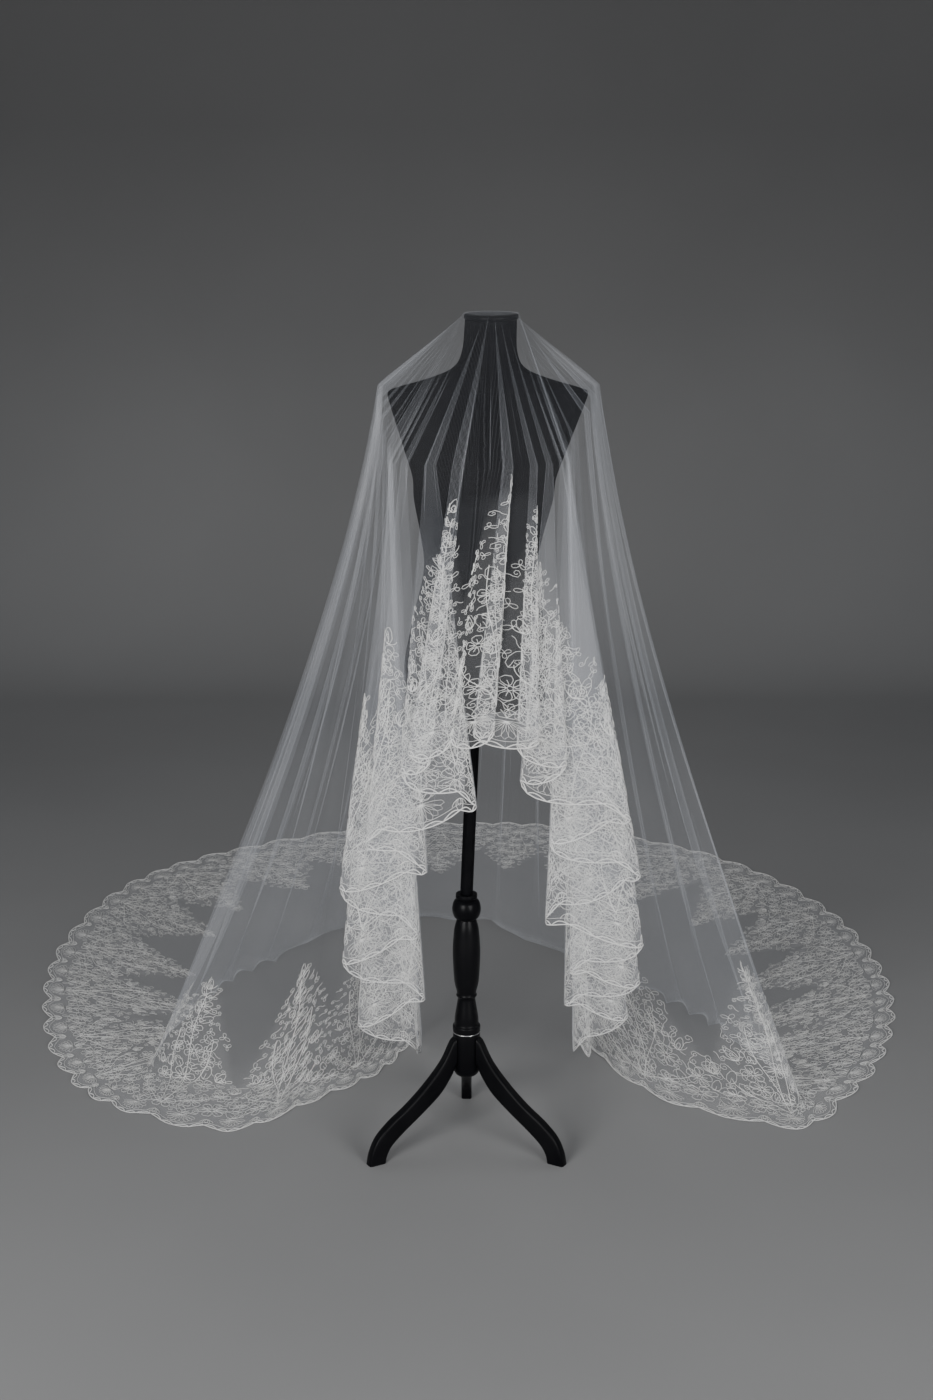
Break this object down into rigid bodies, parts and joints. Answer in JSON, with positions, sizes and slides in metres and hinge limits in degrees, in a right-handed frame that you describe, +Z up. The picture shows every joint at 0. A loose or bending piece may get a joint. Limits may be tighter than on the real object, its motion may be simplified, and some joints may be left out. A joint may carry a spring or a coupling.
{
  "type": "bridal veil on a dress form stand",
  "caption": "Long lace-edged drop veil lying over a limbless dress form on a turned wooden stand, with a short front veil, stepped side folds and a floor train.",
  "frame": {"origin": "middle of the footprint of the whole part, on the floor", "axes": "+Z up, -Y the front that the veil opens towards, +X to the right as seen from the front"},
  "size_m": [1.9632, 2.1968, 1.6013],
  "materials": {
    "tulle_cloth": "sheer soft tulle",
    "corded_lace": "ivory corded floral lace",
    "black_jersey": "matt stretch jersey",
    "black_lacquered_wood": "glossy black lacquer",
    "black_painted_steel": "satin black paint"
  },
  "bodies": {
    "root": {"torso": "black_jersey", "neck_cap": "black_lacquered_wood", "pole": "black_painted_steel", "turned_post": "black_lacquered_wood", "hub": "black_lacquered_wood", "leg_front_left": "black_lacquered_wood", "leg_front_right": "black_lacquered_wood", "leg_back": "black_lacquered_wood", "tulle_crown": "tulle_cloth", "tulle_blusher": "tulle_cloth", "tulle_cascade_right": "tulle_cloth", "tulle_cascade_left": "tulle_cloth", "tulle_fall_right": "tulle_cloth", "tulle_fall_back": "tulle_cloth", "tulle_fall_left": "tulle_cloth", "tulle_train_right": "tulle_cloth", "tulle_train_back": "tulle_cloth", "tulle_train_left": "tulle_cloth", "lace_blusher": "corded_lace", "lace_cascade_right": "corded_lace", "lace_cascade_left": "corded_lace", "lace_train_right": "corded_lace", "lace_train_back": "corded_lace", "lace_train_left": "corded_lace"}
  },
  "joints": []
}
